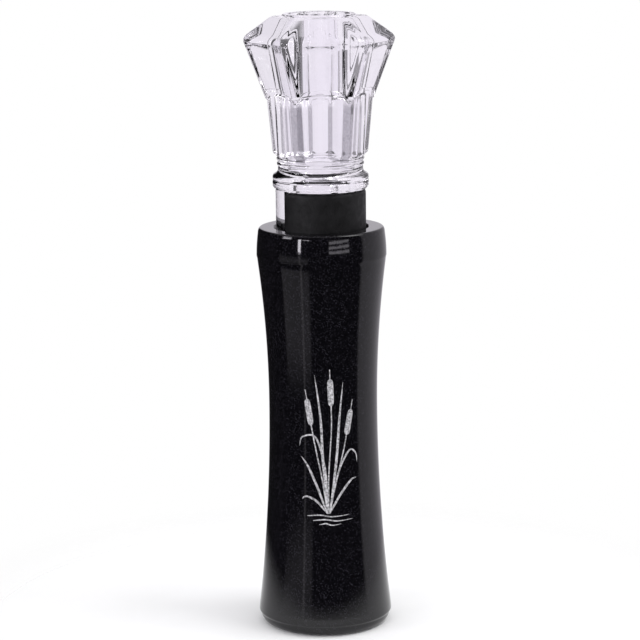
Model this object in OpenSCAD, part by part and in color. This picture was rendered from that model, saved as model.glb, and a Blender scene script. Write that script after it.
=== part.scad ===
// Duck call: a waisted barrel blown from its rounded mouth end, and a clear insert that
// pushes into the other end. The insert is one moulding: a six-sided flared bell, a lanyard
// groove, a shoulder ring and a half-round tone board. A rubber wedge pinches two thin
// reeds on the board. The call stands on its mouth end, and +Z runs up to the bell.
// The reed side of the board faces -Y. All sizes are in millimetres.

/* [Barrel] */
// Length from the mouth face to the rim
barrel_length = 89; // [84:1:96]
// Outer radius at the waist
waist_radius = 11.95; // [11.9:0.05:12.6]
// Height of the waist above the mouth face
waist_height = 50; // [46:1:54]
// Outer radius of the rim end
rim_radius = 14.2; // [13.8:0.1:15]
// Outer radius of the mouth end
mouth_radius = 14.8; // [14.2:0.1:15.6]
// Radius of the bore that takes the tenon
bore_radius = 9.9; // [9.88:0.01:9.95]
// Radius of the breath hole at the mouth end
mouth_bore_radius = 7; // [6.8:0.1:7.6]

/* [Insert] */
// Height of the shoulder ring's lower face, part way out of the barrel
shoulder_height = 97.5; // [96:0.5:100]
// Height of the bell's lip
bell_top = 135.2; // [134.5:0.1:136]
// Corner radius of the bell at its widest
girdle_radius = 16.5; // [16:0.1:17]
// Height of the bell's widest line
girdle_height = 130.2; // [129.5:0.1:130.6]
// Radius of the tenon
tenon_radius = 9.85; // [9.8:0.01:9.86]
// Length of the tone board below the shoulder
board_length = 58; // [55:1:60]
// Radius of the exhaust bore in the neck
exhaust_radius = 7.2; // [6.8:0.1:7.4]

/* [Tone board] */
// Distance of the board's face from the axis, towards the reeds
face_offset = 0.7; // [0.3:0.1:1]
// Half the width of the sound channel
channel_radius = 3.7; // [3.2:0.1:4]
// How far the face falls away at the tip
face_fall = 1.6; // [1.2:0.1:1.8]

/* [Reeds and wedge] */
// Width of both reeds
reed_width = 12.7; // [12:0.1:13]
// Thickness of the lower reed
lower_reed_thickness = 0.36; // [0.3:0.01:0.4]
// Thickness of the upper reed
upper_reed_thickness = 0.25; // [0.2:0.01:0.3]
// Length of the lower reed
lower_reed_length = 54.5; // [52:0.5:55]
// Length of the upper reed
upper_reed_length = 53; // [50:0.5:54]
// Length of the wedge
wedge_length = 20; // [18:0.5:22]

/* [Hidden] */
$fn = 96;
sides = 6;
over = 1;                       // how far a cutter runs past what it cuts

// Barrel
lip_round = 2.4;                // rounded lip of the mouth end
lip_inner_round = 1.6;          // inner edge of the mouth end
rim_round = 1.4;                // outer edge of the rim
rim_straight = 6;               // plain stretch below the rim
bore_chamfer = 0.25;            // lead-in for the tenon
bore_floor = 26;                // height where the tenon bore ends
mouth_bore_top = 16;            // height where the breath hole's straight wall ends
curve_steps = 16;

// Apothem over corner radius, over cos(30) so that the six corners stay blunt
head_flat_ratio = 0.91;
neck_flat_ratio = 0.925;
crown_corner_radius = 10.2;
crown_corner_height = 134.7;
lip_radius = 7.95;
lip_bore_radius = 6.6;
bore_step = 0.6;                // height of the step between the two bores
girdle_round = 2;
pavilion_slope = 0.38;          // radial growth of the corners per millimetre of height
neck_top = 117.3;
neck_top_radius = 11.5;
neck_bottom = 105.6;
neck_bottom_radius = 10.4;
neck_overlap = 4;               // how far the head's cone runs down inside the neck
flute_radius = 110;             // hollow of the six flared faces
flute_depth = 0.3;

// Collar between the neck and the tenon
groove_rim_radius = 9.55;
groove_radius = 9.2;
ring_radius = 10.45;
exhaust_floor = 101.5;          // height where the exhaust bore meets the channel

// Tone board
board_tip = shoulder_height - board_length;
face_y = -face_offset;
channel_axis_y = face_y + 2.3;
channel_start = board_tip + 8;
fall_start = shoulder_height - wedge_length - 4;
fall_length = fall_start - board_tip;
fall_radius = (fall_length * fall_length + face_fall * face_fall) / (2 * face_fall);
tip_round = 3;

// Reeds and wedge
play = 0.02;                    // gap between faces that lie on each other
heel_height = shoulder_height - 0.5;
wedge_top = shoulder_height - 0.2;
reed_gap = 0.05;
lower_reed_y = face_y - play;
upper_reed_y = lower_reed_y - lower_reed_thickness - reed_gap;
pocket_depth = lower_reed_thickness + upper_reed_thickness + reed_gap + 2 * play;
pocket_width = reed_width + 0.4;
reed_corner = 1.5;
dimple_radius = 3;
dimple_height = 0.3;
dimple_place = 13;              // distance of the dimple from the wedge's lower end
wedge_chamfer = 0.5;

// Radius of the barrel's outside at height z: a parabola to each side of the waist
function flare(z, end_z, end_r) =
    waist_radius + (end_r - waist_radius) * pow((z - waist_height) / (end_z - waist_height), 2);

// Points of an arc about (cx, cy), from angle a to angle b
function arc(cx, cy, r, a, b, steps = 8) =
    [for (i = [0:steps]) let (t = a + (b - a) * i / steps) [cx + r * cos(t), cy + r * sin(t)]];

function barrel_outline() =
    let (
        lip_z = lip_round,
        top_z = barrel_length - rim_straight,
        inner_r = mouth_bore_radius + lip_inner_round
    )
    concat(
        arc(inner_r, lip_inner_round, lip_inner_round, 180, 270),
        arc(mouth_radius - lip_round, lip_round, lip_round, -90, 0),
        [for (i = [1:curve_steps])
            let (z = lip_z + (waist_height - lip_z) * i / curve_steps)
            [flare(z, lip_z, mouth_radius), z]],
        [for (i = [1:curve_steps - 1])
            let (z = waist_height + (top_z - waist_height) * i / curve_steps)
            [flare(z, top_z, rim_radius), z]],
        [[rim_radius - 0.08, top_z - 0.3], [rim_radius, top_z + 0.7]],
        arc(rim_radius - rim_round, barrel_length - rim_round, rim_round, 0, 90),
        [
            [bore_radius + bore_chamfer, barrel_length],
            [bore_radius, barrel_length - bore_chamfer],
            [bore_radius, bore_floor],
            [mouth_bore_radius, mouth_bore_top]
        ]
    );

module barrel() {
    color("#101012")
        rotate_extrude()
            polygon(barrel_outline());
}

// Radius of the bell's corners at height z, below the girdle
function head_corner(z) =
    girdle_radius - girdle_round * 0.25 - pavilion_slope * (girdle_height - girdle_round * 0.4 - z);

// Solid of revolution that the bell's six sides are cut from
module head_blank() {
    low = neck_top - neck_overlap;
    rotate_extrude()
        polygon(concat(
            [[0, low], [head_corner(low), low]],
            arc(girdle_radius - girdle_round, girdle_height, girdle_round, -20, 55),
            [
                [crown_corner_radius, crown_corner_height],
                [lip_radius + 0.2, crown_corner_height],
                [lip_radius, crown_corner_height + 0.2],
                [lip_radius - 0.3, bell_top],
                [0, bell_top]
            ]
        ));
}

// Hollow cut for one flared face: a large cylinder that leans outwards with the face
module flute_cutter() {
    low_a = head_flat_ratio * head_corner(neck_top) - flute_depth / 2;
    high_a = head_flat_ratio * girdle_radius - flute_depth;
    lean = atan((high_a - low_a) / (girdle_height - neck_top));
    intersection() {
        translate([low_a, 0, neck_top])
            rotate([0, lean, 0])
                translate([flute_radius, 0, 0])
                    cylinder(r = flute_radius, h = 60, center = true, $fn = 256);
        translate([0, -girdle_radius, neck_top - neck_overlap - over])
            cube([2 * girdle_radius, 2 * girdle_radius, bell_top - neck_top + neck_overlap + 2 * over]);
    }
}

// Flat cut for one face of the crown
module crown_cutter() {
    low = [head_flat_ratio * girdle_radius + 0.2, girdle_height];
    high = [head_flat_ratio * crown_corner_radius, crown_corner_height];
    run = high - low;
    rotate([90, 0, 0])
        linear_extrude(4 * girdle_radius, center = true)
            polygon([low - run, high + 0.6 * run, [3 * girdle_radius, bell_top + 9], [3 * girdle_radius, low[1] - 9]]);
}

module head() {
    difference() {
        head_blank();
        for (i = [0:sides - 1])
            rotate([0, 0, i * 360 / sides]) {
                flute_cutter();
                crown_cutter();
            }
    }
}

// Six-sided neck with blunt corners, a little wider at the top
module neck() {
    difference() {
        rotate_extrude()
            polygon([
                [0, neck_bottom - 0.8],
                [groove_rim_radius, neck_bottom - 0.8],
                [neck_bottom_radius, neck_bottom],
                [neck_top_radius, neck_top],
                [0, neck_top]
            ]);
        for (i = [0:sides - 1])
            rotate([0, 0, i * 360 / sides])
                rotate([90, 0, 0])
                    linear_extrude(4 * girdle_radius, center = true)
                        polygon([
                            [groove_rim_radius, neck_bottom - over],
                            [neck_flat_ratio * neck_bottom_radius, neck_bottom],
                            [neck_flat_ratio * neck_top_radius, neck_top + 0.001],
                            [2 * girdle_radius, neck_top + 0.001],
                            [2 * girdle_radius, neck_bottom - over]
                        ]);
    }
}

// Lanyard groove and shoulder ring
module collar() {
    ring_top = shoulder_height + 2.6;
    rotate_extrude()
        polygon(concat(
            [[0, shoulder_height], [ring_radius - 0.45, shoulder_height]],
            arc(ring_radius - 0.6, shoulder_height + 0.8, 0.6, -45, 0, 4),
            [[ring_radius, ring_top - 0.5]],
            arc(ring_radius - 0.4, ring_top - 0.5, 0.4, 0, 50, 4),
            arc(groove_radius + 1.2, ring_top + 1.6, 1.2, 235, 180, 5),
            [
                [groove_radius, ring_top + 2.2],
                [groove_rim_radius, ring_top + 3.2],
                [groove_rim_radius, neck_bottom + over],
                [0, neck_bottom + over]
            ]
        ));
}

module tenon() {
    rotate_extrude()
        polygon([
            [0, board_tip],
            [tenon_radius - 0.8, board_tip],
            [tenon_radius, board_tip + 0.8],
            [tenon_radius, shoulder_height + over],
            [0, shoulder_height + over]
        ]);
}

// Everything above the board's face: flat at the wedge, then falling away in a long arc
module face_cutter() {
    difference() {
        translate([-2 * tenon_radius, -4 * tenon_radius, board_tip - over])
            cube([4 * tenon_radius, 4 * tenon_radius + face_y + 2 * face_fall, board_length + over]);
        translate([-3 * tenon_radius, face_y, fall_start])
            cube([6 * tenon_radius, 6 * tenon_radius, 2 * board_length]);
        translate([0, face_y + fall_radius, fall_start])
            rotate([0, 90, 0])
                cylinder(r = fall_radius, h = 6 * tenon_radius, center = true, $fn = 256);
    }
}

// Rounds the tip of the board over towards the channel's blind end
module tip_cutter() {
    tip_face_y = face_y + face_fall;
    difference() {
        translate([-2 * tenon_radius, tip_face_y - over, board_tip - over])
            cube([4 * tenon_radius, tip_round + over, tip_round + over]);
        translate([0, tip_face_y + tip_round, board_tip + tip_round])
            rotate([0, 90, 0])
                cylinder(r = tip_round, h = 6 * tenon_radius, center = true);
    }
}

// Round-bottomed channel from near the tip to the exhaust bore
module sound_channel() {
    length = exhaust_floor + over - channel_start;
    translate([0, channel_axis_y, channel_start])
        cylinder(r = channel_radius, h = length);
    translate([0, channel_axis_y, channel_start])
        sphere(r = channel_radius);
    translate([-channel_radius, channel_axis_y - 8, channel_start])
        cube([2 * channel_radius, 8, shoulder_height - channel_start]);
    translate([0, channel_axis_y, channel_start])
        rotate([90, 0, 0])
            cylinder(r = channel_radius, h = 8);
}

module exhaust_bore() {
    // throat from the channel up to full bore
    translate([0, 0, exhaust_floor - 2.4])
        cylinder(r1 = channel_radius + 1, r2 = exhaust_radius, h = 2.4);
    translate([0, 0, exhaust_floor])
        cylinder(r = exhaust_radius, h = neck_top - exhaust_floor);
    translate([0, 0, neck_top])
        cylinder(r = exhaust_radius, h = bore_step);
    translate([0, 0, neck_top + bore_step])
        cylinder(r1 = exhaust_radius, r2 = lip_bore_radius, h = bore_step);
    translate([0, 0, neck_top + 2 * bore_step])
        cylinder(r = lip_bore_radius, h = bell_top - neck_top);
    translate([0, 0, bell_top - 0.5])
        cylinder(r1 = lip_bore_radius, r2 = lip_bore_radius + 1, h = 1);
}

module insert() {
    color("#E6E0EE")
        difference() {
            union() {
                head();
                neck();
                collar();
                tenon();
            }
            face_cutter();
            tip_cutter();
            sound_channel();
            exhaust_bore();
        }
}

// Half-round rubber block with a shallow pocket over the reeds
module wedge() {
    low = wedge_top - wedge_length;
    color("#19191B")
        difference() {
            rotate_extrude()
                polygon([
                    [0, low],
                    [tenon_radius - wedge_chamfer, low],
                    [tenon_radius, low + wedge_chamfer],
                    [tenon_radius, wedge_top - wedge_chamfer],
                    [tenon_radius - wedge_chamfer, wedge_top],
                    [0, wedge_top]
                ]);
            translate([-2 * tenon_radius, face_y - play, low - over])
                cube([4 * tenon_radius, 4 * tenon_radius, wedge_length + 2 * over]);
            translate([-pocket_width / 2, face_y - pocket_depth - play, low - over])
                cube([pocket_width, 4 * tenon_radius, wedge_length + 2 * over]);
        }
}

// Thin strip that hangs from its heel, with the two corners at its tip rounded
module reed_strip(length, thickness, y) {
    rotate([90, 0, 0])
        translate([0, 0, -y])
            linear_extrude(thickness)
                polygon(concat(
                    [[reed_width / 2, heel_height], [-reed_width / 2, heel_height]],
                    arc(reed_corner - reed_width / 2, heel_height - length + reed_corner, reed_corner, 180, 270),
                    arc(reed_width / 2 - reed_corner, heel_height - length + reed_corner, reed_corner, 270, 360)
                ));
}

module lower_reed() {
    color("#E9E9E4")
        reed_strip(lower_reed_length, lower_reed_thickness, lower_reed_y);
}

// The upper reed's dimple stands up from its back, and keeps it from sticking to the lower one
module upper_reed() {
    dimple_z = wedge_top - wedge_length - dimple_place;
    top_y = upper_reed_y - upper_reed_thickness;
    color("#F2F2EE") {
        union() {
            reed_strip(upper_reed_length, upper_reed_thickness, upper_reed_y);
            intersection() {
                translate([0, top_y + dimple_radius - dimple_height, dimple_z])
                    sphere(r = dimple_radius);
                translate([-dimple_radius, top_y - dimple_height, dimple_z - dimple_radius])
                    cube([2 * dimple_radius, dimple_height + upper_reed_thickness / 2, 2 * dimple_radius]);
            }
        }
    }
}

barrel();
insert();
wedge();
lower_reed();
upper_reed();
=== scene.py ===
"""Duck call: gloss black barrel, clear six-sided insert, rubber wedge and two film reeds."""
import bpy
import bmesh
import math
from mathutils import Matrix, Vector


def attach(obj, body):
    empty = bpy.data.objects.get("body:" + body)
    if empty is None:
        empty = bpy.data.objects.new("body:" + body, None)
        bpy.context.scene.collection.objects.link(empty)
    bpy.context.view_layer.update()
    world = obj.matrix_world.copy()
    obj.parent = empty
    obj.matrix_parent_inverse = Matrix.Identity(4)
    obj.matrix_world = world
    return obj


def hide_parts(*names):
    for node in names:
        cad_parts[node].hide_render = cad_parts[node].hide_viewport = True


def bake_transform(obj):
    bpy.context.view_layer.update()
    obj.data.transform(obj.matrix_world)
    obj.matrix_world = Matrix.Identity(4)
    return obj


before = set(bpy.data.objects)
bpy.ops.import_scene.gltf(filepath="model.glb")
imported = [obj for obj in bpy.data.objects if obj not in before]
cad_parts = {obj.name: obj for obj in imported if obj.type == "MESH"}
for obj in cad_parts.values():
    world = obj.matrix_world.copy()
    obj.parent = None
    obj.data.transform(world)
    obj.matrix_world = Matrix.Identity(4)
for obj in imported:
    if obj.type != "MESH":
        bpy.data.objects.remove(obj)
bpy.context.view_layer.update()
scene = bpy.context.scene
MM = 0.001

# ---------------------------------------------------------------- camera
VIEW_AZ = math.radians(-33)      # the camera stands left of the reed side
AWAY = Vector((-math.sin(VIEW_AZ), math.cos(VIEW_AZ), 0))
RIGHT = Vector((math.cos(VIEW_AZ), math.sin(VIEW_AZ), 0))
UP = Vector((0, 0, 1))
CAMERA_DISTANCE, CAMERA_HEIGHT = 0.528, 0.1727
LENS, SENSOR = 137.9, 36
PITCH, YAW, ROLL = math.radians(11.2), math.radians(0.054), math.radians(0.66)


def add_camera():
    data = bpy.data.cameras.new("camera")
    cam = bpy.data.objects.new("camera", data)
    scene.collection.objects.link(cam)
    data.sensor_width, data.lens = SENSOR, LENS
    ahead = AWAY * math.cos(YAW) - RIGHT * math.sin(YAW)
    side = RIGHT * math.cos(YAW) + AWAY * math.sin(YAW)
    look = ahead * math.cos(PITCH) - UP * math.sin(PITCH)
    top = UP * math.cos(PITCH) + ahead * math.sin(PITCH)
    x = side * math.cos(ROLL) - top * math.sin(ROLL)
    y = top * math.cos(ROLL) + side * math.sin(ROLL)
    m = Matrix((x, y, -look)).transposed().to_4x4()
    m.translation = -AWAY * CAMERA_DISTANCE + UP * CAMERA_HEIGHT
    cam.matrix_world = m
    data.clip_start, data.clip_end = 0.01, 20
    scene.camera = cam


add_camera()


# ---------------------------------------------------------------- node helpers
def new_material(name):
    mat = bpy.data.materials.new(name)
    mat.use_nodes = True
    tree = mat.node_tree
    return mat, tree, tree.nodes["Principled BSDF"]


def noise(tree, scale, detail=3, rough=0.5, vector=None, distortion=0):
    n = tree.nodes.new("ShaderNodeTexNoise")
    n.inputs["Scale"].default_value = scale
    n.inputs["Detail"].default_value = detail
    n.inputs["Roughness"].default_value = rough
    n.inputs["Distortion"].default_value = distortion
    if vector is None:
        vector = tree.nodes.new("ShaderNodeTexCoord").outputs["Object"]
    tree.links.new(vector, n.inputs["Vector"])
    return n.outputs["Fac"]


def stretched(tree, sx, sy, sz):
    coord = tree.nodes.new("ShaderNodeTexCoord")
    m = tree.nodes.new("ShaderNodeMapping")
    m.inputs["Scale"].default_value = (sx, sy, sz)
    tree.links.new(coord.outputs["Object"], m.inputs["Vector"])
    return m.outputs["Vector"]


def remap(tree, value, lo, hi, out_lo, out_hi, smooth=False):
    n = tree.nodes.new("ShaderNodeMapRange")
    n.interpolation_type = "SMOOTHSTEP" if smooth else "LINEAR"
    tree.links.new(value, n.inputs["Value"])
    for key, v in zip(("From Min", "From Max", "To Min", "To Max"), (lo, hi, out_lo, out_hi)):
        n.inputs[key].default_value = v
    return n.outputs["Result"]


def math_node(tree, op, a, b=None):
    n = tree.nodes.new("ShaderNodeMath")
    n.operation = op
    for i, v in enumerate((a, b)):
        if v is None:
            continue
        if isinstance(v, (int, float)):
            n.inputs[i].default_value = v
        else:
            tree.links.new(v, n.inputs[i])
    return n.outputs[0]


def two_colours(tree, value, dark, light, lo=0.35, hi=0.65):
    ramp = tree.nodes.new("ShaderNodeValToRGB")
    ramp.color_ramp.elements[0].position, ramp.color_ramp.elements[1].position = lo, hi
    ramp.color_ramp.elements[0].color = (*dark, 1)
    ramp.color_ramp.elements[1].color = (*light, 1)
    tree.links.new(value, ramp.inputs["Fac"])
    return ramp.outputs["Color"]


def bump(tree, bsdf, height, distance, strength=1.0):
    n = tree.nodes.new("ShaderNodeBump")
    n.inputs["Distance"].default_value = distance
    n.inputs["Strength"].default_value = strength
    tree.links.new(height, n.inputs["Height"])
    tree.links.new(n.outputs["Normal"], bsdf.inputs["Normal"])


# ---------------------------------------------------------------- materials
def barrel_material():
    """Gloss black with a fine pearl fleck."""
    mat, tree, bsdf = new_material("barrel_black")
    flecks = tree.nodes.new("ShaderNodeTexVoronoi")
    flecks.inputs["Scale"].default_value = 5200
    tree.links.new(tree.nodes.new("ShaderNodeTexCoord").outputs["Object"], flecks.inputs["Vector"])
    level = tree.nodes.new("ShaderNodeSeparateColor")
    tree.links.new(flecks.outputs["Color"], level.inputs["Color"])
    patches = remap(tree, noise(tree, 130, 4), 0.35, 0.65, 0.82, 0.95)
    shine = math_node(tree, "MULTIPLY", remap(tree, level.outputs["Red"], 0.72, 1.0, 0, 1), patches)
    tree.links.new(two_colours(tree, shine, (0.002, 0.0018, 0.0026), (0.018, 0.017, 0.022), 0.1, 0.95),
                   bsdf.inputs["Base Color"])
    rubs = noise(tree, 140, 5, 0.6, stretched(tree, 1, 1, 0.25))
    tree.links.new(remap(tree, rubs, 0.35, 0.75, 0.035, 0.075), bsdf.inputs["Roughness"])
    bsdf.inputs["IOR"].default_value = 1.5
    bsdf.inputs["Specular IOR Level"].default_value = 0.44
    grain = math_node(tree, "ADD", noise(tree, 1400, 2), math_node(tree, "MULTIPLY", noise(tree, 45, 2), 6.0))
    bump(tree, bsdf, grain, 0.000004)
    return mat


def matt_corner_flats_painted_shade(tree):
    """1 on the neck's six corner flats, which are a little matt and carry a grey painted shade in place of
    the dark refraction strips there; 0 elsewhere.
    """
    place = tree.nodes.new("ShaderNodeTexCoord")
    xyz = tree.nodes.new("ShaderNodeSeparateXYZ")
    tree.links.new(place.outputs["Object"], xyz.inputs[0])
    x, y, z = (xyz.outputs[k] for k in "XYZ")
    turn = math_node(tree, "ARCTAN2", x, math_node(tree, "MULTIPLY", y, -1))
    off_corner = math_node(tree, "PINGPONG", math_node(tree, "MULTIPLY", turn, 3 / math.pi), 0.5)
    near = remap(tree, off_corner, 0.108, 0.128, 1, 0, True)
    radius = math_node(tree, "SQRT", math_node(tree, "ADD", math_node(tree, "MULTIPLY", x, x),
                                               math_node(tree, "MULTIPLY", y, y)))
    outside = remap(tree, radius, 0.0082, 0.0088, 0, 1)
    foot = remap(tree, z, 0.1036, 0.1042, 0, 1, True)
    top = remap(tree, z, 0.1155, 0.118, 1, 0, True)
    return math_node(tree, "MULTIPLY", math_node(tree, "MULTIPLY", near, outside),
                     math_node(tree, "MULTIPLY", foot, top))


def clear_material():
    """Clear moulding, faintly lavender; the neck's corner flats are slightly matt and carry a grey painted
    shade in place of dark refraction.
    """
    mat, tree, bsdf = new_material("insert_clear")
    cloud = noise(tree, 60, 2)
    flats = matt_corner_flats_painted_shade(tree)
    # painted shade: the corner flats get a grey base colour that stands in for the dark strips refraction
    # makes there
    painted_shade_mix = tree.nodes.new("ShaderNodeMix")
    painted_shade_mix.data_type = "RGBA"
    tree.links.new(flats, painted_shade_mix.inputs["Factor"])
    tree.links.new(two_colours(tree, cloud, (0.975, 0.962, 0.995), (0.99, 0.982, 1.0)), painted_shade_mix.inputs["A"])
    grain = noise(tree, 2200, 3)
    # the grey of the painted shade on the corner flats
    tree.links.new(two_colours(tree, grain, (0.27, 0.262, 0.285), (0.4, 0.39, 0.42)), painted_shade_mix.inputs["B"])
    tree.links.new(painted_shade_mix.outputs["Result"], bsdf.inputs["Base Color"])
    handling = noise(tree, 350, 4, 0.6)
    tree.links.new(math_node(tree, "ADD", remap(tree, handling, 0.5, 0.8, 0.0, 0.05),
                             math_node(tree, "MULTIPLY", flats, 0.14)), bsdf.inputs["Roughness"])
    bsdf.inputs["Transmission Weight"].default_value = 1
    bsdf.inputs["IOR"].default_value = 1.5
    bump(tree, bsdf, noise(tree, 110, 2), 0.00002)
    return mat


def rubber_material():
    """Matt black rubber with a fine grain."""
    mat, tree, bsdf = new_material("wedge_rubber")
    tree.links.new(two_colours(tree, noise(tree, 500, 5), (0.002, 0.002, 0.0025), (0.006, 0.006, 0.007)),
                   bsdf.inputs["Base Color"])
    tree.links.new(remap(tree, noise(tree, 900, 3), 0.3, 0.7, 0.5, 0.72), bsdf.inputs["Roughness"])
    bsdf.inputs["Specular IOR Level"].default_value = 0.4
    bump(tree, bsdf, noise(tree, 2600, 3), 0.00003)
    return mat


def film_material():
    """Milky film that lets some light through."""
    mat, tree, bsdf = new_material("reed_film")
    tree.links.new(two_colours(tree, noise(tree, 300, 3), (0.72, 0.74, 0.72), (0.84, 0.85, 0.83)),
                   bsdf.inputs["Base Color"])
    tree.links.new(remap(tree, noise(tree, 1500, 2), 0.3, 0.7, 0.28, 0.42), bsdf.inputs["Roughness"])
    bsdf.inputs["Transmission Weight"].default_value = 0.45
    bsdf.inputs["IOR"].default_value = 1.6
    bump(tree, bsdf, noise(tree, 3000, 2), 0.000006)
    return mat


def silver_material():
    """Speckled silver, as left by an engraving tool."""
    mat, tree, bsdf = new_material("engraving_silver")
    grain = noise(tree, 2600, 4, 0.7)
    tree.links.new(two_colours(tree, grain, (0.1, 0.1, 0.105), (0.62, 0.61, 0.64), 0.4, 0.6),
                   bsdf.inputs["Base Color"])
    tree.links.new(remap(tree, noise(tree, 3500, 2), 0.3, 0.7, 0.45, 0.7), bsdf.inputs["Roughness"])
    bump(tree, bsdf, noise(tree, 5000, 2), 0.00003)
    return mat


# ---------------------------------------------------------------- mesh helpers
def mesh_object(name, bm):
    mesh = bpy.data.meshes.new(name)
    bm.to_mesh(mesh)
    bm.free()
    obj = bpy.data.objects.new(name, mesh)
    scene.collection.objects.link(obj)
    return obj


def loose(bm, name):
    """A helper object for the booleans."""
    bmesh.ops.recalc_face_normals(bm, faces=bm.faces)
    return mesh_object(name, bm)


def finish_mesh(name, bm, mat, body, sharp=35, node=None):
    """A piece with its material, the node it replaces and the body it rides on."""
    bmesh.ops.recalc_face_normals(bm, faces=bm.faces)
    for f in bm.faces:
        f.smooth = True
    for e in bm.edges:
        e.smooth = not (e.is_manifold and e.calc_face_angle(0) > math.radians(sharp))
    obj = mesh_object(name, bm)
    obj.data.materials.append(mat)
    if node:
        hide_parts(node)
    if body:
        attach(obj, body)
    return obj


def arc(cx, cz, r, a, b, steps=10):
    """Points of a circle's arc from angle a to angle b, in degrees."""
    out = []
    for i in range(steps + 1):
        t = math.radians(a + (b - a) * i / steps)
        out.append((cx + r * math.cos(t), cz + r * math.sin(t)))
    return out


def bridge(bm, rings, closed):
    """Faces between neighbouring rings of vertices; closed also joins the last ring to the first."""
    for a, b in zip(rings, rings[1:] + (rings[:1] if closed else [])):
        for i in range(len(a)):
            j = (i + 1) % len(a)
            bm.faces.new((a[i], a[j], b[j], b[i]))


def ring_solid(rows):
    """Closed solid round the axis; each row is one ring, a (radius, height) in mm for every angle."""
    bm = bmesh.new()
    rings = []
    for row in rows:
        turns = [2 * math.pi * i / len(row) for i in range(len(row))]
        rings.append([bm.verts.new((r * MM * math.cos(t), r * MM * math.sin(t), z * MM))
                      for t, (r, z) in zip(turns, row)])
    bridge(bm, rings, True)
    return bm


def boolean(obj, other, operation):
    mod = obj.modifiers.new("cut", "BOOLEAN")
    mod.operation, mod.solver, mod.object = operation, "EXACT", other
    dg = bpy.context.evaluated_depsgraph_get()
    mesh = bpy.data.meshes.new_from_object(obj.evaluated_get(dg))
    obj.modifiers.clear()
    obj.data = mesh
    bpy.data.objects.remove(other)


# ---------------------------------------------------------------- barrel
WAIST_R, WAIST_Z = 11.95, 50.0
LOW_Z, LOW_R = 2.9, 14.78
HIGH_Z, HIGH_R = 83.0, 14.2
RIM_Z = 89.0
BARREL_SEGMENTS = 256


def barrel_radius(z):
    end_z, end_r = (LOW_Z, LOW_R) if z < WAIST_Z else (HIGH_Z, HIGH_R)
    return WAIST_R + (end_r - WAIST_R) * ((z - WAIST_Z) / (end_z - WAIST_Z)) ** 2


def build_barrel(mat):
    """Waisted tube: mouth lip, flared foot, rim and through bore in one outline."""
    outline = arc(8.6, 1.6, 1.6, 180, 270, 8)
    outline += arc(12.3, 2.1, 2.1, -90, -4, 12)
    outline += [(14.46, 2.25), (14.66, 2.42), (14.76, 2.62)]
    steps = 60
    rise = (HIGH_Z - 0.4 - LOW_Z) / steps
    outline += [(barrel_radius(z), z) for z in (LOW_Z + rise * i for i in range(steps + 1))]
    rim = [82.8 + 5.6 * i / 16 for i in range(17)]
    outline += [(14.22 - 0.45 * ((z - 82.6) / 6.0) ** 2, z) for z in rim]
    outline += arc(13.15, 88.4, 0.6, 8, 88, 10)
    outline += [(12.6, RIM_Z), (10.75, RIM_Z)]
    outline += arc(10.55, RIM_Z - 0.2, 0.2, 90, 135, 3) + [(9.95, 88.35), (9.9, 88.2)]
    outline += [(9.9, 75), (9.9, 60), (9.9, 26), (7.0, 16), (7.0, 8)]
    shell = ring_solid([[point] * BARREL_SEGMENTS for point in outline])
    return finish_mesh("barrel_shell", shell, mat, "barrel", 40, "barrel")


# ---------------------------------------------------------------- insert
HOLLOW, CROWN_HOLLOW = 0.25, 0.12   # how deep the faces of the bell and of its crown are dished
NECK_BLUNT, HEAD_BLUNT = 0.925, 0.892   # a face's distance from the axis against its corner's
CORNER_FLAT = 0.992                 # the same for the flats that cut the corners
LEDGE = 0.3                         # how far the bell overhangs the neck at the crease
NECK_FOOT_Z, NECK_Z, GIRDLE_Z, CROWN_Z = 104.75, 106.7, 127.95, 134.7
BELL_SEGMENTS = 360
JOIN_Z = 98.75                      # where the bell takes over from the board, inside the tenon


def smooth_min(a, b, k):
    """The smaller of two values, with the step between them rounded over k."""
    h = max(k - abs(a - b), 0) / k
    return min(a, b) - h * h * k / 4


def hexagon(angle, corner, blunt, hollow, k):
    """Radius of a six-sided section with blunt corners, one of them on -Y. angle is in degrees."""
    phi = (angle + 30) % 60 - 30
    t = math.tan(math.radians(phi)) / math.tan(math.radians(30))
    face = (blunt * corner - hollow * (1 - t * t)) / math.cos(math.radians(phi))
    bevel = CORNER_FLAT * corner / math.cos(math.radians(30 - abs(phi)))
    return smooth_min(face, bevel, k)


def head_corner(z):
    return 16.5 - 0.374 * (129.6 - z)


def neck_corner(z):
    return 10.4 + (z - 105.6) * 1.1 / 11.7


def neck_radius(angle, z):
    r = hexagon(angle, neck_corner(z), NECK_BLUNT, 0, 0.3)
    return smooth_min(r, 9.55 + (z - NECK_FOOT_Z) * 1.15, 0.25) if z < 109 else r


def crown_radius(angle, z):
    drop = (134.75 - z) / (134.75 - 130.0)
    return hexagon(angle, 10.3 + 6.7 * drop, HEAD_BLUNT, CROWN_HOLLOW, 0.35)


def head_radius(angle, z):
    side = hexagon(angle, head_corner(z), HEAD_BLUNT, HOLLOW, 0.3)
    return smooth_min(side, crown_radius(angle, z), 1.7) if z > 124.5 else side


def crease_height(angle):
    """Where the bell's underside meets the neck: an arch over each face."""
    low, high = 112.0, 124.0
    for _ in range(24):
        mid = (low + high) / 2
        if head_radius(angle, mid) > neck_radius(angle, mid) + LEDGE:
            high = mid
        else:
            low = mid
    return high


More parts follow.
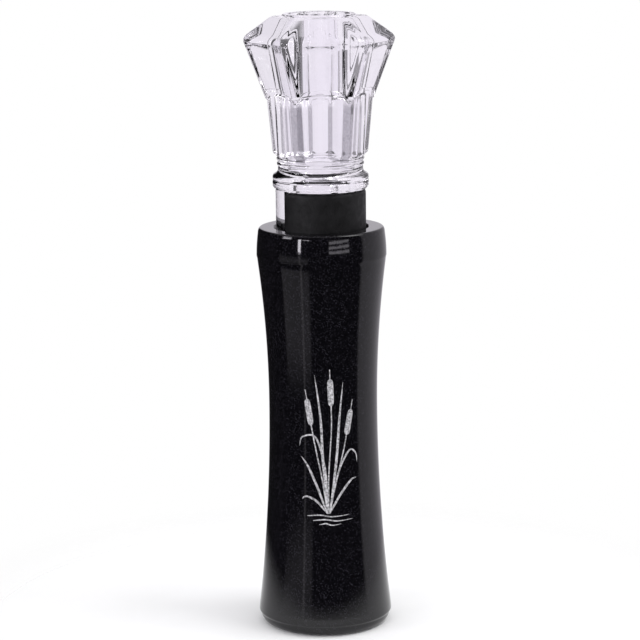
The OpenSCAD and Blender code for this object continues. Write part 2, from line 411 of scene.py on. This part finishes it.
def build_bell():
    """Closed ring-shaped solid: neck, bell and shoulder ring with the exhaust bore through them."""
    angles = [360 * i / BELL_SEGMENTS for i in range(BELL_SEGMENTS)]
    crease = [crease_height(a) for a in angles]
    rows = []                                   # each row holds a (radius, height) for every angle

    def round_rows(points):
        rows.extend([point] * BELL_SEGMENTS for point in points)

    # shoulder ring, lanyard groove and two fine beads, upwards from inside the tenon
    round_rows([(10.0, 98.0), (10.3, 98.2), (10.45, 98.5), (10.47, 99.0), (10.42, 99.25), (10.28, 99.4)])
    round_rows([(10.28, 99.55), (10.42, 99.7), (10.45, 100.0), (10.4, 100.35), (10.2, 100.65)])
    round_rows([(9.85, 100.85), (9.55, 101.05), (9.35, 101.35), (9.25, 101.8), (9.24, 102.3)])
    round_rows([(9.28, 102.6), (9.42, 102.75), (9.46, 102.95), (9.42, 103.15), (9.28, 103.3)])
    round_rows([(9.26, 103.5), (9.3, 103.65), (9.46, 103.8), (9.52, 104.0), (9.5, 104.2)])
    round_rows([(9.38, 104.35), (9.36, 104.5)])
    # neck, whose top rows follow the crease
    rows += [[(neck_radius(a, z), z) for a in angles] for z in (NECK_FOOT_Z + 0.15 * i for i in range(14))]
    for i in range(1, 19):
        heights = [NECK_Z + (c - 0.5 - NECK_Z) * i / 18 for c in crease]
        rows.append([(neck_radius(a, z), z) for a, z in zip(angles, heights)])
    for out, up in ((0.02, -0.3), (0.07, -0.15), (0.15, -0.04), (0.24, 0.02)):
        rows.append([(neck_radius(a, c) + out, c + up) for a, c in zip(angles, crease)])
    # bell, from the crease over the girdle to the crown
    for i in range(23):
        heights = [c + 0.07 + (GIRDLE_Z - c) * i / 23 for c in crease]
        rows.append([(head_radius(a, z), z) for a, z in zip(angles, heights)])
    rows += [[(head_radius(a, z), z) for a in angles] for z in (128.1 + 0.15 * i for i in range(43))]
    rows.append([(crown_radius(a, 134.68) - 0.12, 134.66) for a in angles])
    rows.append([(crown_radius(a, CROWN_Z) - 0.35, CROWN_Z) for a in angles])
    # lip, then down the bell's bore, its step and the exhaust bore
    round_rows([(8.25, 134.73), (8.05, 134.78), (7.95, 134.9)])
    round_rows(arc(7.6, 134.87, 0.33, 20, 90, 6) + arc(7.05, 134.75, 0.45, 90, 180, 7))
    round_rows([(6.6, 133), (6.6, 129), (6.6, 125), (6.6, 121), (6.6, 118.7), (6.65, 118.5)])
    round_rows([(7.12, 118.0), (7.2, 117.8), (7.2, 113), (7.2, 109), (7.2, 105), (7.2, 101.7)])
    round_rows([(7.1, 101.3), (5.9, 100.3), (4.75, 99.3), (4.6, 98.0)])
    return loose(ring_solid(rows), "bell")


def box_mesh(lo, hi, name):
    bm = bmesh.new()
    bmesh.ops.create_cube(bm, size=1)
    for v in bm.verts:
        v.co = Vector([(lo[k] + hi[k]) / 2 + v.co[k] * (hi[k] - lo[k]) for k in range(3)]) * MM
    return loose(bm, name)


def build_insert(mat):
    """The CAD tone board and tenon, with the finely shaped neck and bell joined on top."""
    bm = bmesh.new()
    bm.from_mesh(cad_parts["insert"].data)
    bmesh.ops.remove_doubles(bm, verts=bm.verts, dist=1e-7)
    board = loose(bm, "board")
    boolean(board, box_mesh((-12, -12, 30), (12, 12, JOIN_Z), "cutter"), "INTERSECT")
    boolean(board, build_bell(), "UNION")
    bm = bmesh.new()
    bm.from_mesh(board.data)
    bpy.data.objects.remove(board)
    bmesh.ops.remove_doubles(bm, verts=bm.verts, dist=2e-6)
    return finish_mesh("insert_clear_moulding", bm, mat, "insert", 28, "insert")


# ---------------------------------------------------------------- wedge
BOARD_FACE_Y = -0.72             # the flat face that the reeds and the wedge lie on
WEDGE_LOW, WEDGE_HIGH = 77.3, 97.3


def build_wedge(mat):
    """Half-round rubber block with eased ends and a shallow pocket over the reeds."""
    pocket_half, pocket_y, r = 6.55, -1.43, 9.8
    low, high = WEDGE_LOW, WEDGE_HIGH
    start = math.degrees(math.asin(-BOARD_FACE_Y / r))
    section = arc(0, 0, r, 180 + start, 360 - start, 96)
    section += [(pocket_half, BOARD_FACE_Y), (pocket_half, pocket_y)]
    section += [(-pocket_half, pocket_y), (-pocket_half, BOARD_FACE_Y)]
    rows = [(low, 0.55), (low + 0.12, 0.25), (low + 0.4, 0.05), (low + 0.8, 0)]
    rows += [(low + 0.8 + (high - low - 1.8) * i / 14, 0) for i in range(1, 15)]
    rows += [(high - 0.62, 0.04), (high - 0.3, 0.18), (high - 0.1, 0.42), (high, 0.75)]
    bm = bmesh.new()
    rings = []
    for z, inset in rows:
        ring = []
        for x, y in section:
            d = math.hypot(x, y)
            outer = y < pocket_y - 0.01
            k = (d - inset) / d if outer or abs(x) > pocket_half + 0.5 else 1
            new_y = y * k if outer else min(y * k, BOARD_FACE_Y)
            ring.append(bm.verts.new((x * k * MM, new_y * MM, z * MM)))
        rings.append(ring)
    bridge(bm, rings, False)
    for ring in (rings[0], rings[-1]):
        bm.faces.new(ring)
    return finish_mesh("rubber_wedge", bm, mat, "insert", 40, "wedge")


# ---------------------------------------------------------------- reeds
REED_HEEL = 97.0


def build_reed(node, length, back_y, thick, dimple, mat):
    """Film strip as a fine closed grid, so that it can bend. dimple is its height, or None."""
    half, corner, cols, rows = 6.35, 1.5, 26, 110
    bm = bmesh.new()
    front, back = [], []
    for k in range(rows + 1):
        s = k / rows
        d = length * (1 - (1 - s) ** 1.6)            # rows crowd towards the tip
        left = length - d
        w = half if left > corner else half - corner + math.sqrt(max(corner ** 2 - (corner - left) ** 2, 0))
        w = max(w, half - corner)
        f_row, b_row = [], []
        for i in range(cols + 1):
            x = w * (2 * i / cols - 1)
            z = REED_HEEL - d
            lift = 0.0
            if dimple:
                q = math.hypot(x, z - dimple) / 1.5
                lift = 0.3 * (0.5 + 0.5 * math.cos(math.pi * min(q, 1)))
            f_row.append(bm.verts.new((x * MM, (back_y - thick - lift) * MM, z * MM)))
            b_row.append(bm.verts.new((x * MM, (back_y - lift * 0.9) * MM, z * MM)))
        front.append(f_row)
        back.append(b_row)
    for k in range(rows):
        for i in range(cols):
            bm.faces.new((front[k][i], front[k][i + 1], front[k + 1][i + 1], front[k + 1][i]))
            bm.faces.new((back[k][i], back[k + 1][i], back[k + 1][i + 1], back[k][i + 1]))
        for i in (0, cols):
            bm.faces.new((front[k][i], front[k + 1][i], back[k + 1][i], back[k][i]))
    for k in (0, rows):
        for i in range(cols):
            bm.faces.new((front[k][i], front[k][i + 1], back[k][i + 1], back[k][i]))
    obj = finish_mesh(node + "_film", bm, mat, None, 35, node)
    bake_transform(obj)
    return obj


# ---------------------------------------------------------------- engraving
PROUD, SUNK = 0.025, -0.03       # a stroke's outer and inner face against the barrel's surface
STROKE_ROUND_R = 12.2            # radius that turns a stroke's sideways mm into an angle


def build_engraving(mat):
    """A sprig of bulrushes, as thin filled strokes that lie on the barrel's front."""
    bm = bmesh.new()
    front = math.degrees(VIEW_AZ) + 2.5            # where the sprig is centred, round the barrel

    def place(u, z, lift):
        r = barrel_radius(z) + lift
        t = math.radians(front) + u / STROKE_ROUND_R
        return (r * MM * math.sin(t), -r * MM * math.cos(t), z * MM)

    def stroke(points, width):
        """points are (u, z) in mm; width is a function of 0..1 along the stroke."""
        fine = []
        for k in range(len(points) - 1):
            p0, p1 = points[max(k - 1, 0)], points[k]
            p2, p3 = points[k + 1], points[min(k + 2, len(points) - 1)]
            for i in range(10):
                t = i / 10
                fine.append(tuple(0.5 * (2 * p1[c] + (p2[c] - p0[c]) * t
                                         + (2 * p0[c] - 5 * p1[c] + 4 * p2[c] - p3[c]) * t * t
                                         + (3 * p1[c] - p0[c] - 3 * p2[c] + p3[c]) * t ** 3) for c in (0, 1)))
        fine.append(points[-1])
        last = len(fine) - 1
        quads = []
        for i, (u, z) in enumerate(fine):
            ua, za = fine[max(i - 1, 0)]
            ub, zb = fine[min(i + 1, last)]
            du, dz = ub - ua, zb - za
            d = math.hypot(du, dz) or 1
            w = max(width(i / last), 0.05) / 2
            nu, nz = -dz / d * w, du / d * w
            corners = [(1, PROUD), (-1, PROUD), (-1, SUNK), (1, SUNK)]
            quads.append([bm.verts.new(place(u + k * nu, z + k * nz, lift)) for k, lift in corners])
        for a, b in zip(quads, quads[1:]):
            for i in range(4):
                j = (i + 1) % 4
                bm.faces.new((a[i], b[i], b[j], a[j]))
        bm.faces.new(quads[0])
        bm.faces.new(quads[-1][::-1])

    def blade(w):
        return lambda t: w * math.sin(math.pi * min(0.12 + 0.88 * t, 1)) ** 0.7

    def line(w):
        return lambda t: w

    def seed_head(w):
        return lambda t: w * max(1 - abs(2 * t - 1) ** 5, 0.1) ** 0.5

    # stems, seed heads and the spikes above them
    for stem, top in [([(0.4, 28.0), (0.5, 36), (1.2, 46), (1.2, 51.6)], (1.0, 57.4)),
                      ([(0.1, 28.0), (-0.9, 35), (-2.5, 43), (-3.3, 47.4)], (-4.2, 53.0)),
                      ([(0.6, 28.0), (1.9, 34), (3.8, 41), (4.7, 45.0)], (5.8, 50.4))]:
        stroke(stem, line(0.26))
        u0, z0 = stem[-1]
        stroke([(u0, z0 - 0.1), ((u0 + top[0]) / 2, (z0 + top[1]) / 2), top], seed_head(1.35))
        du, dz = top[0] - u0, top[1] - z0
        d = math.hypot(du, dz)
        stroke([top, (top[0] + du / d * 2.2, top[1] + dz / d * 2.2)], line(0.2))
    # long leaves, two of them bent over
    for leaf, w in [([(0.1, 27.6), (-1.8, 33), (-4.0, 38.0), (-5.6, 40.2)], 0.5),
                    ([(0.5, 27.6), (2.9, 31.6), (5.4, 34.6), (6.9, 35.2)], 0.5),
                    ([(0.2, 27.6), (-0.7, 39), (-1.2, 49), (-2.4, 58.4)], 0.55),
                    ([(0.6, 27.6), (2.2, 39), (3.0, 48), (3.9, 56.6)], 0.55),
                    ([(0.3, 27.6), (-0.2, 37), (-2.2, 44.4), (-5.3, 44.6), (-6.0, 42.6)], 0.4),
                    ([(0.6, 27.6), (2.6, 36.5), (5.2, 41.3), (6.9, 40.6), (7.2, 38.6)], 0.4),
                    ([(0.2, 27.6), (-2.2, 30.4), (-4.4, 31.4), (-5.4, 30.8)], 0.45)]:
        stroke(leaf, blade(w))
    # ripples at the foot
    for z, a, b in [(27.1, -4.2, 4.8), (26.1, -2.9, 5.6), (25.2, -1.6, 3.0)]:
        crest, trough = (a + (b - a) * 0.3, z + 0.22), (a + (b - a) * 0.6, z - 0.18)
        stroke([(a, z), crest, trough, (b, z + 0.05)], blade(0.28))
    return finish_mesh("engraved_sprig", bm, mat, "barrel", 50, None)


build_barrel(barrel_material())
build_insert(clear_material())
build_wedge(rubber_material())
film = film_material()
build_reed("lower_reed", 54.5, BOARD_FACE_Y, 0.36, None, film)
build_reed("upper_reed", 53.0, -1.13, 0.25, 64.3, film)
build_engraving(silver_material())


# ---------------------------------------------------------------- floor, world, lights
def add_floor():
    bm = bmesh.new()
    bmesh.ops.create_grid(bm, x_segments=24, y_segments=24, size=0.5)
    floor = mesh_object("floor", bm)
    floor.location = (0, 0, -0.00005)
    mat, tree, bsdf = new_material("floor_pale")
    bsdf.inputs["Roughness"].default_value = 0.9
    bsdf.inputs["Specular IOR Level"].default_value = 0.1
    tree.links.new(two_colours(tree, noise(tree, 40, 3), (0.9, 0.9, 0.91), (0.93, 0.93, 0.94)),
                   bsdf.inputs["Base Color"])
    # the floor thins out to the pale backdrop well away from the call
    coord = tree.nodes.new("ShaderNodeTexCoord")
    length = tree.nodes.new("ShaderNodeVectorMath")
    length.operation = "LENGTH"
    tree.links.new(coord.outputs["Object"], length.inputs[0])
    fade = remap(tree, length.outputs["Value"], 0.03, 0.1, 1, 0, True)
    tree.links.new(fade, bsdf.inputs["Alpha"])
    floor.data.materials.append(mat)


def add_world():
    world = bpy.data.worlds.new("studio")
    scene.world = world
    world.use_nodes = True
    tree = world.node_tree
    background = tree.nodes["Background"]
    coord = tree.nodes.new("ShaderNodeTexCoord").outputs["Generated"]

    def along(v):
        n = tree.nodes.new("ShaderNodeVectorMath")
        n.operation = "DOT_PRODUCT"
        n.inputs[1].default_value = v
        tree.links.new(coord, n.inputs[0])
        return n.outputs["Value"]

    # azimuth in degrees, 0 where the camera stands and positive to its right; elevation in degrees
    per_radian = 180 / math.pi
    azimuth = math_node(tree, "MULTIPLY", math_node(tree, "ARCTAN2", along(RIGHT), along(-AWAY)), per_radian)
    elevation = math_node(tree, "MULTIPLY", math_node(tree, "ARCSINE", along(UP)), per_radian)

    def window(az0, az1, el0, el1, soft, level):
        """A soft-edged patch of the surroundings."""
        edges = ((azimuth, az0, 0, 1), (azimuth, az1, 1, 0), (elevation, el0, 0, 1), (elevation, el1, 1, 0))
        parts = [remap(tree, value, edge - soft, edge + soft, before, after, True)
                 for value, edge, before, after in edges]
        product = math_node(tree, "MULTIPLY", math_node(tree, "MULTIPLY", parts[0], parts[1]),
                            math_node(tree, "MULTIPLY", parts[2], parts[3]))
        return math_node(tree, "MULTIPLY", product, level)

    def total(patches, base):
        out = None
        for p in patches:
            out = p if out is None else math_node(tree, "ADD", out, p)
        return math_node(tree, "ADD", out, base)

    # what the gloss mirrors: walls and panes, small lamps, and the slats of a blind
    right_side = window(78, 168, -70, 40, 4, 0.62)
    behind = window(168, 190, -70, 40, 4, 0.95)
    behind_left = window(-190, -168, -70, 40, 4, 0.95)
    left_pane = window(-80, -24, -25, -16, 2.5, 0.36)
    left_sill = window(-80, -24, -9, -5.5, 1.5, 0.3)
    door_edge = window(-41, -37.5, -70, 2, 0.8, 0.5)
    lamps = [window(-42, -37, -2, 16, 0.5, 16.0), window(-34, -22, 6, 12, 0.7, 9.0),
             window(-76, -58, 12, 26, 1.5, 9.0)]
    blinds = [window(13, 50, el, el + 1.5, 0.4, 2.6) for el in (-2.5, 0.6, 3.7, 6.8)]
    ceiling = window(-200, 200, 40, 95, 8, 0.45)
    sides = [right_side, behind, behind_left, left_pane, left_sill, door_edge, ceiling]
    mirrored = total(sides + lamps + blinds, 0.02)
    # what shows through the clear plastic: a bright room with a darker sector on its left
    bright = total([window(-34, 190, -80, 62, 4, 0.82), window(-190, -121, -80, 62, 2, 0.82),
                    window(-121, -34, -80, -24, 4, 0.82)], 0.13)
    shades = total([window(112, 131, 5.5, 26, 1.5, 0.62), window(122, 131, -30, -17, 1.5, 0.55)], 0)
    seen_through = math_node(tree, "SUBTRACT", bright, shades)
    path = tree.nodes.new("ShaderNodeLightPath")
    mixed = tree.nodes.new("ShaderNodeMix")
    tree.links.new(path.outputs["Is Transmission Ray"], mixed.inputs["Factor"])
    tree.links.new(mirrored, mixed.inputs["A"])
    tree.links.new(seen_through, mixed.inputs["B"])
    plain = tree.nodes.new("ShaderNodeMix")
    flat = math_node(tree, "MAXIMUM", path.outputs["Is Camera Ray"], path.outputs["Is Diffuse Ray"])
    tree.links.new(flat, plain.inputs["Factor"])
    tree.links.new(mixed.outputs["Result"], plain.inputs["A"])
    plain.inputs["B"].default_value = 1.0
    tree.links.new(plain.outputs["Result"], background.inputs["Strength"])
    # a cool cast on what the call mirrors and lets through, and none on the backdrop
    tint = tree.nodes.new("ShaderNodeMix")
    tint.data_type = "RGBA"
    tree.links.new(flat, tint.inputs["Factor"])
    tint.inputs["A"].default_value = (0.965, 0.93, 1.0, 1)
    tint.inputs["B"].default_value = (1, 1, 1, 1)
    tree.links.new(tint.outputs["Result"], background.inputs["Color"])


def add_light(name, psi, elevation, distance, size, watts):
    data = bpy.data.lights.new(name, "AREA")
    data.shape, data.size, data.size_y = "RECTANGLE", size[0], size[1]
    data.energy = watts
    light = bpy.data.objects.new(name, data)
    a, e = math.radians(psi), math.radians(elevation)
    back = (-AWAY * math.cos(a) + RIGHT * math.sin(a)) * math.cos(e) + UP * math.sin(e)
    light.location = Vector((0, 0, 0.07)) + back * distance
    light.rotation_mode = "QUATERNION"
    light.rotation_quaternion = (-back).to_track_quat("-Z", "Y")
    light.visible_camera = False
    scene.collection.objects.link(light)


add_floor()
add_world()
add_light("key", 75, 50, 0.9, (0.5, 0.5), 3.0)
scene.view_settings.view_transform = "Standard"
